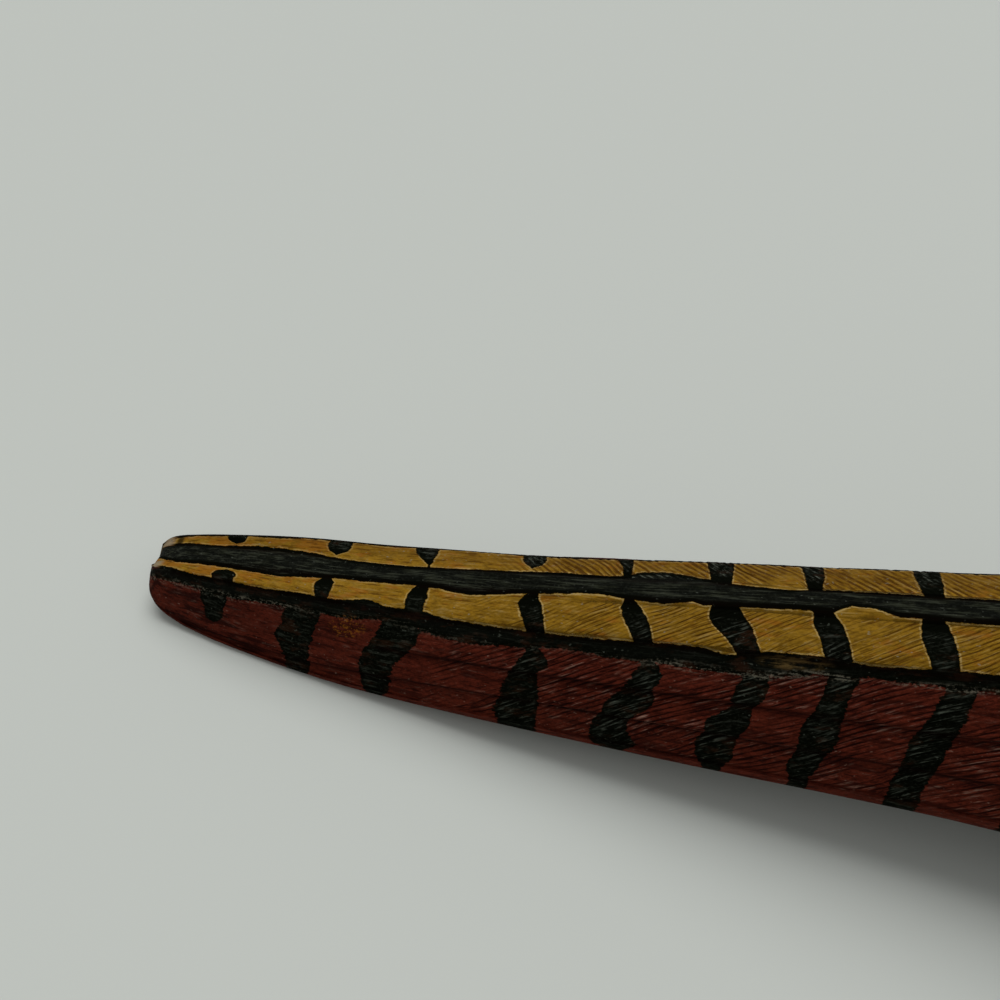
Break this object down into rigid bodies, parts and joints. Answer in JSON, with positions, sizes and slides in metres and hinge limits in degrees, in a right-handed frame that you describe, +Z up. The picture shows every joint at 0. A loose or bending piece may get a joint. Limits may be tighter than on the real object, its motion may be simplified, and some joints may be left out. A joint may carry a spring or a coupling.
{
  "type": "pheasant carving",
  "caption": "Hand-carved, painted wooden cock pheasant sitting on its flat belly, head raised, with a long barred tail laid out behind.",
  "frame": {"origin": "on the surface that the carving sits on, under the middle of its length", "axes": "+X from the tail's tip towards the beak, +Y to the bird's left, +Z up"},
  "size_m": [0.4, 0.0924, 0.1461],
  "materials": {
    "painted_wood": "hand-painted in oxblood, ochre and black, with a dull sheen"
  },
  "bodies": {
    "root": {"pheasant": "painted_wood"}
  },
  "joints": []
}
